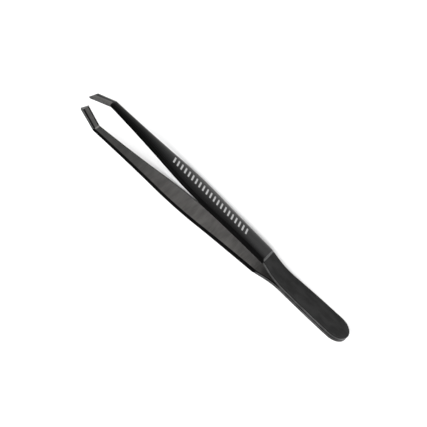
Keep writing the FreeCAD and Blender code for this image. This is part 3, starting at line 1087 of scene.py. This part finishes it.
    def build(self) -> bpy.types.Object:
        """Makes the blade's mesh, dresses it and hides the model's parts that it stands for.

        Returns:
            The blade, in place.
        """
        form, rows = self.form, self.rows()
        rings = [self.ring(row) for row in rows]
        size = len(rings[0][0])
        count = size // 2
        faces, zones = [], []
        for i, row in enumerate(rows[:-1]):
            laterals = self.places_across(row.half)
            for j in range(size):
                after = (j + 1) % size
                faces.append((i * size + j, i * size + after, (i + 1) * size + after, (i + 1) * size + j))
                part = Part.WALL if after in (0, count) else Part.INSIDE if j < count else Part.OUTSIDE
                step = j if j < count else size - 1 - j
                beside = min(step + 1, count - 1) if j < count else max(step - 1, 0)
                across = (laterals[step] + laterals[beside]) / 2
                spot = (rings[i][1][j] + rings[i + 1][1][after]) / 2 * MM
                x = self.route.at(spot.x)[0][0]
                to_end = form.tip_end - x - (form.tip_width / 2 - spot.z) * math.tan(form.slant)
                land = rows[i + 1].cut > 0
                zones.append(self.zone(x, row.half + across, row.half, part, to_end, land))
        base = (len(rows) - 1) * size
        for j in range(count - 1):
            faces.append((base + j, base + j + 1, base + size - 2 - j, base + size - 1 - j))
            zones.append(Zone.GROUND)
        points = [point for ring, _ in rings for point in ring]
        places = [place for _, ring in rings for place in ring]
        blade = self.assemble(points, places, faces, zones)
        self.mount(blade)
        return blade

    def assemble(
        self, points: list[Vector], places: list[Vector], faces: list[tuple], zones: list[Zone]
    ) -> bpy.types.Object:
        """Makes one closed, smooth object of the loft.

        Args:
            points: Where each corner is.
            places: Each corner's place on the straightened blade.
            faces: The corners of each face.
            zones: The finish of each face.

        Returns:
            The object.
        """
        work = bmesh.new()
        layer = work.verts.layers.float_vector.new(PLACE)
        corners = [work.verts.new(point) for point in points]
        for corner, place in zip(corners, places):
            corner[layer] = place
        for indices, zone in zip(faces, zones):
            face = work.faces.new([corners[i] for i in indices])
            face.material_index = zone.value
            face.smooth = True
        bmesh.ops.remove_doubles(work, verts=work.verts, dist=MERGE)
        bmesh.ops.recalc_face_normals(work, faces=work.faces)
        for edge in work.edges:
            edge.smooth = edge.calc_face_angle(0.0) < self.sharp
        mesh = bpy.data.meshes.new(self.name)
        work.to_mesh(mesh)
        work.free()
        for material in self.finishes().values():
            mesh.materials.append(material)
        blade = bpy.data.objects.new(self.name, mesh)
        bpy.context.scene.collection.objects.link(blade)
        weighted = blade.modifiers.new("even_normals", "WEIGHTED_NORMAL")
        weighted.keep_sharp = True
        return blade

    def mount(self, blade: bpy.types.Object) -> None:
        """Bakes the blade's placement into its mesh and hides the model's parts that it stands for.

        Args:
            blade: The blade's object.
        """
        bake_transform(blade)
        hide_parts(*self.side.nodes)


@dataclass
class SpotWelds:
    """The fused discs between the heel plates: the model's own solids, dressed."""

    node: str = "spot_welds"
    metal: WeldSteel = WeldSteel()

    def build(self) -> bpy.types.Object:
        """Dresses the discs.

        Returns:
            Their object.
        """
        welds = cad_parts[self.node]
        welds.data.materials.clear()
        welds.data.materials.append(self.metal.material("weld_steel"))
        return welds


@dataclass
class Studio:
    """White surface, a softbox beyond each end of the tweezers, and a dim room."""

    floor_radius: float = 1.5
    floor_sides: int = 64
    paper: WhitePaper = WhitePaper()
    light_size: float = 1.1
    light_reach: float = 0.6
    light_offset: float = -0.22
    light_height: float = 0.6
    light_power: float = 11.0
    room: float = 0.35

    def build(self) -> bpy.types.Object:
        """Makes the surface, the lights and the room.

        Returns:
            The surface.
        """
        turns = [math.tau * i / self.floor_sides for i in range(self.floor_sides)]
        ring = [(self.floor_radius * math.cos(turn), self.floor_radius * math.sin(turn), 0) for turn in turns]
        mesh = bpy.data.meshes.new("white_surface")
        mesh.from_pydata(ring, [], [tuple(range(self.floor_sides))])
        mesh.materials.append(self.paper.material("white_paper"))
        floor = bpy.data.objects.new("white_surface", mesh)
        bpy.context.scene.collection.objects.link(floor)
        floor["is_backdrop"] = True
        self.softbox("heel_softbox", -self.light_reach)
        self.softbox("tip_softbox", self.light_reach)
        world = bpy.data.worlds.new("pale_room")
        world.use_nodes = True
        world.node_tree.nodes["Background"].inputs["Color"].default_value = grey(self.room)
        bpy.context.scene.world = world
        bpy.context.scene.view_settings.view_transform = "Standard"
        return floor

    def softbox(self, name: str, along: float) -> None:
        """Makes one square light that faces the tweezers.

        Args:
            name: Its name.
            along: Its place along X.
        """
        lamp = bpy.data.lights.new(name, "AREA")
        lamp.shape, lamp.size, lamp.energy = "SQUARE", self.light_size, self.light_power
        light = bpy.data.objects.new(name, lamp)
        light.location = (along, self.light_offset, self.light_height)
        light.rotation_euler = (-light.location).to_track_quat("-Z", "Y").to_euler()
        bpy.context.scene.collection.objects.link(light)


@dataclass
class ProductCamera:
    """Long-lens camera above the right blade, rolled so that the tips point to the upper left."""

    elevation: float = math.radians(55)
    sideways: float = math.radians(-4)  # towards the tips; negative is towards the heel
    roll: float = math.radians(137.43)  # of the tweezers' +X, anticlockwise from the frame's right
    lens: float = 150.0
    frame_span: float = 115.2 * MM
    aim_along: float = 1.45 * MM
    aim_up: float = -0.48 * MM

    def build(self) -> bpy.types.Object:
        """Makes the camera and gives it to the scene.

        Returns:
            The camera.
        """
        low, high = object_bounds()
        flat = Vector((0.0, -math.cos(self.elevation), math.sin(self.elevation)))
        tips = Vector((1.0, 0.0, 0.0))
        back = flat * math.cos(self.sideways) + tips * math.sin(self.sideways)
        along = tips * math.cos(self.sideways) - flat * math.sin(self.sideways)
        over = back.cross(along)
        right = along * math.cos(self.roll) - over * math.sin(self.roll)
        up = along * math.sin(self.roll) + over * math.cos(self.roll)
        data = bpy.data.cameras.new("product_camera")
        data.lens = self.lens
        distance = self.frame_span * data.lens / data.sensor_width
        aim = Vector((0.0, 0.0, (low.z + high.z) / 2)) + along * self.aim_along + over * self.aim_up
        turn = Matrix((right, up, back)).transposed().to_4x4()
        camera = bpy.data.objects.new("product_camera", data)
        camera.matrix_world = Matrix.Translation(aim + back * distance) @ turn
        bpy.context.scene.collection.objects.link(camera)
        bpy.context.scene.camera = camera
        return camera


def main() -> None:
    """Builds everything in order."""
    logging.basicConfig(level=logging.INFO, format="%(name)s %(message)s")
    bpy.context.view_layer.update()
    form = BladeForm.from_frame()
    blades = Blade(Side.LEFT, form), Blade(Side.RIGHT, form, StrokeRow())
    for piece in (ProductCamera(), *blades, SpotWelds(), Studio()):
        made = piece.build()
        LOG.info("%s: built from %s", made.name, type(piece).__name__)


if __name__ == "__main__":
    main()
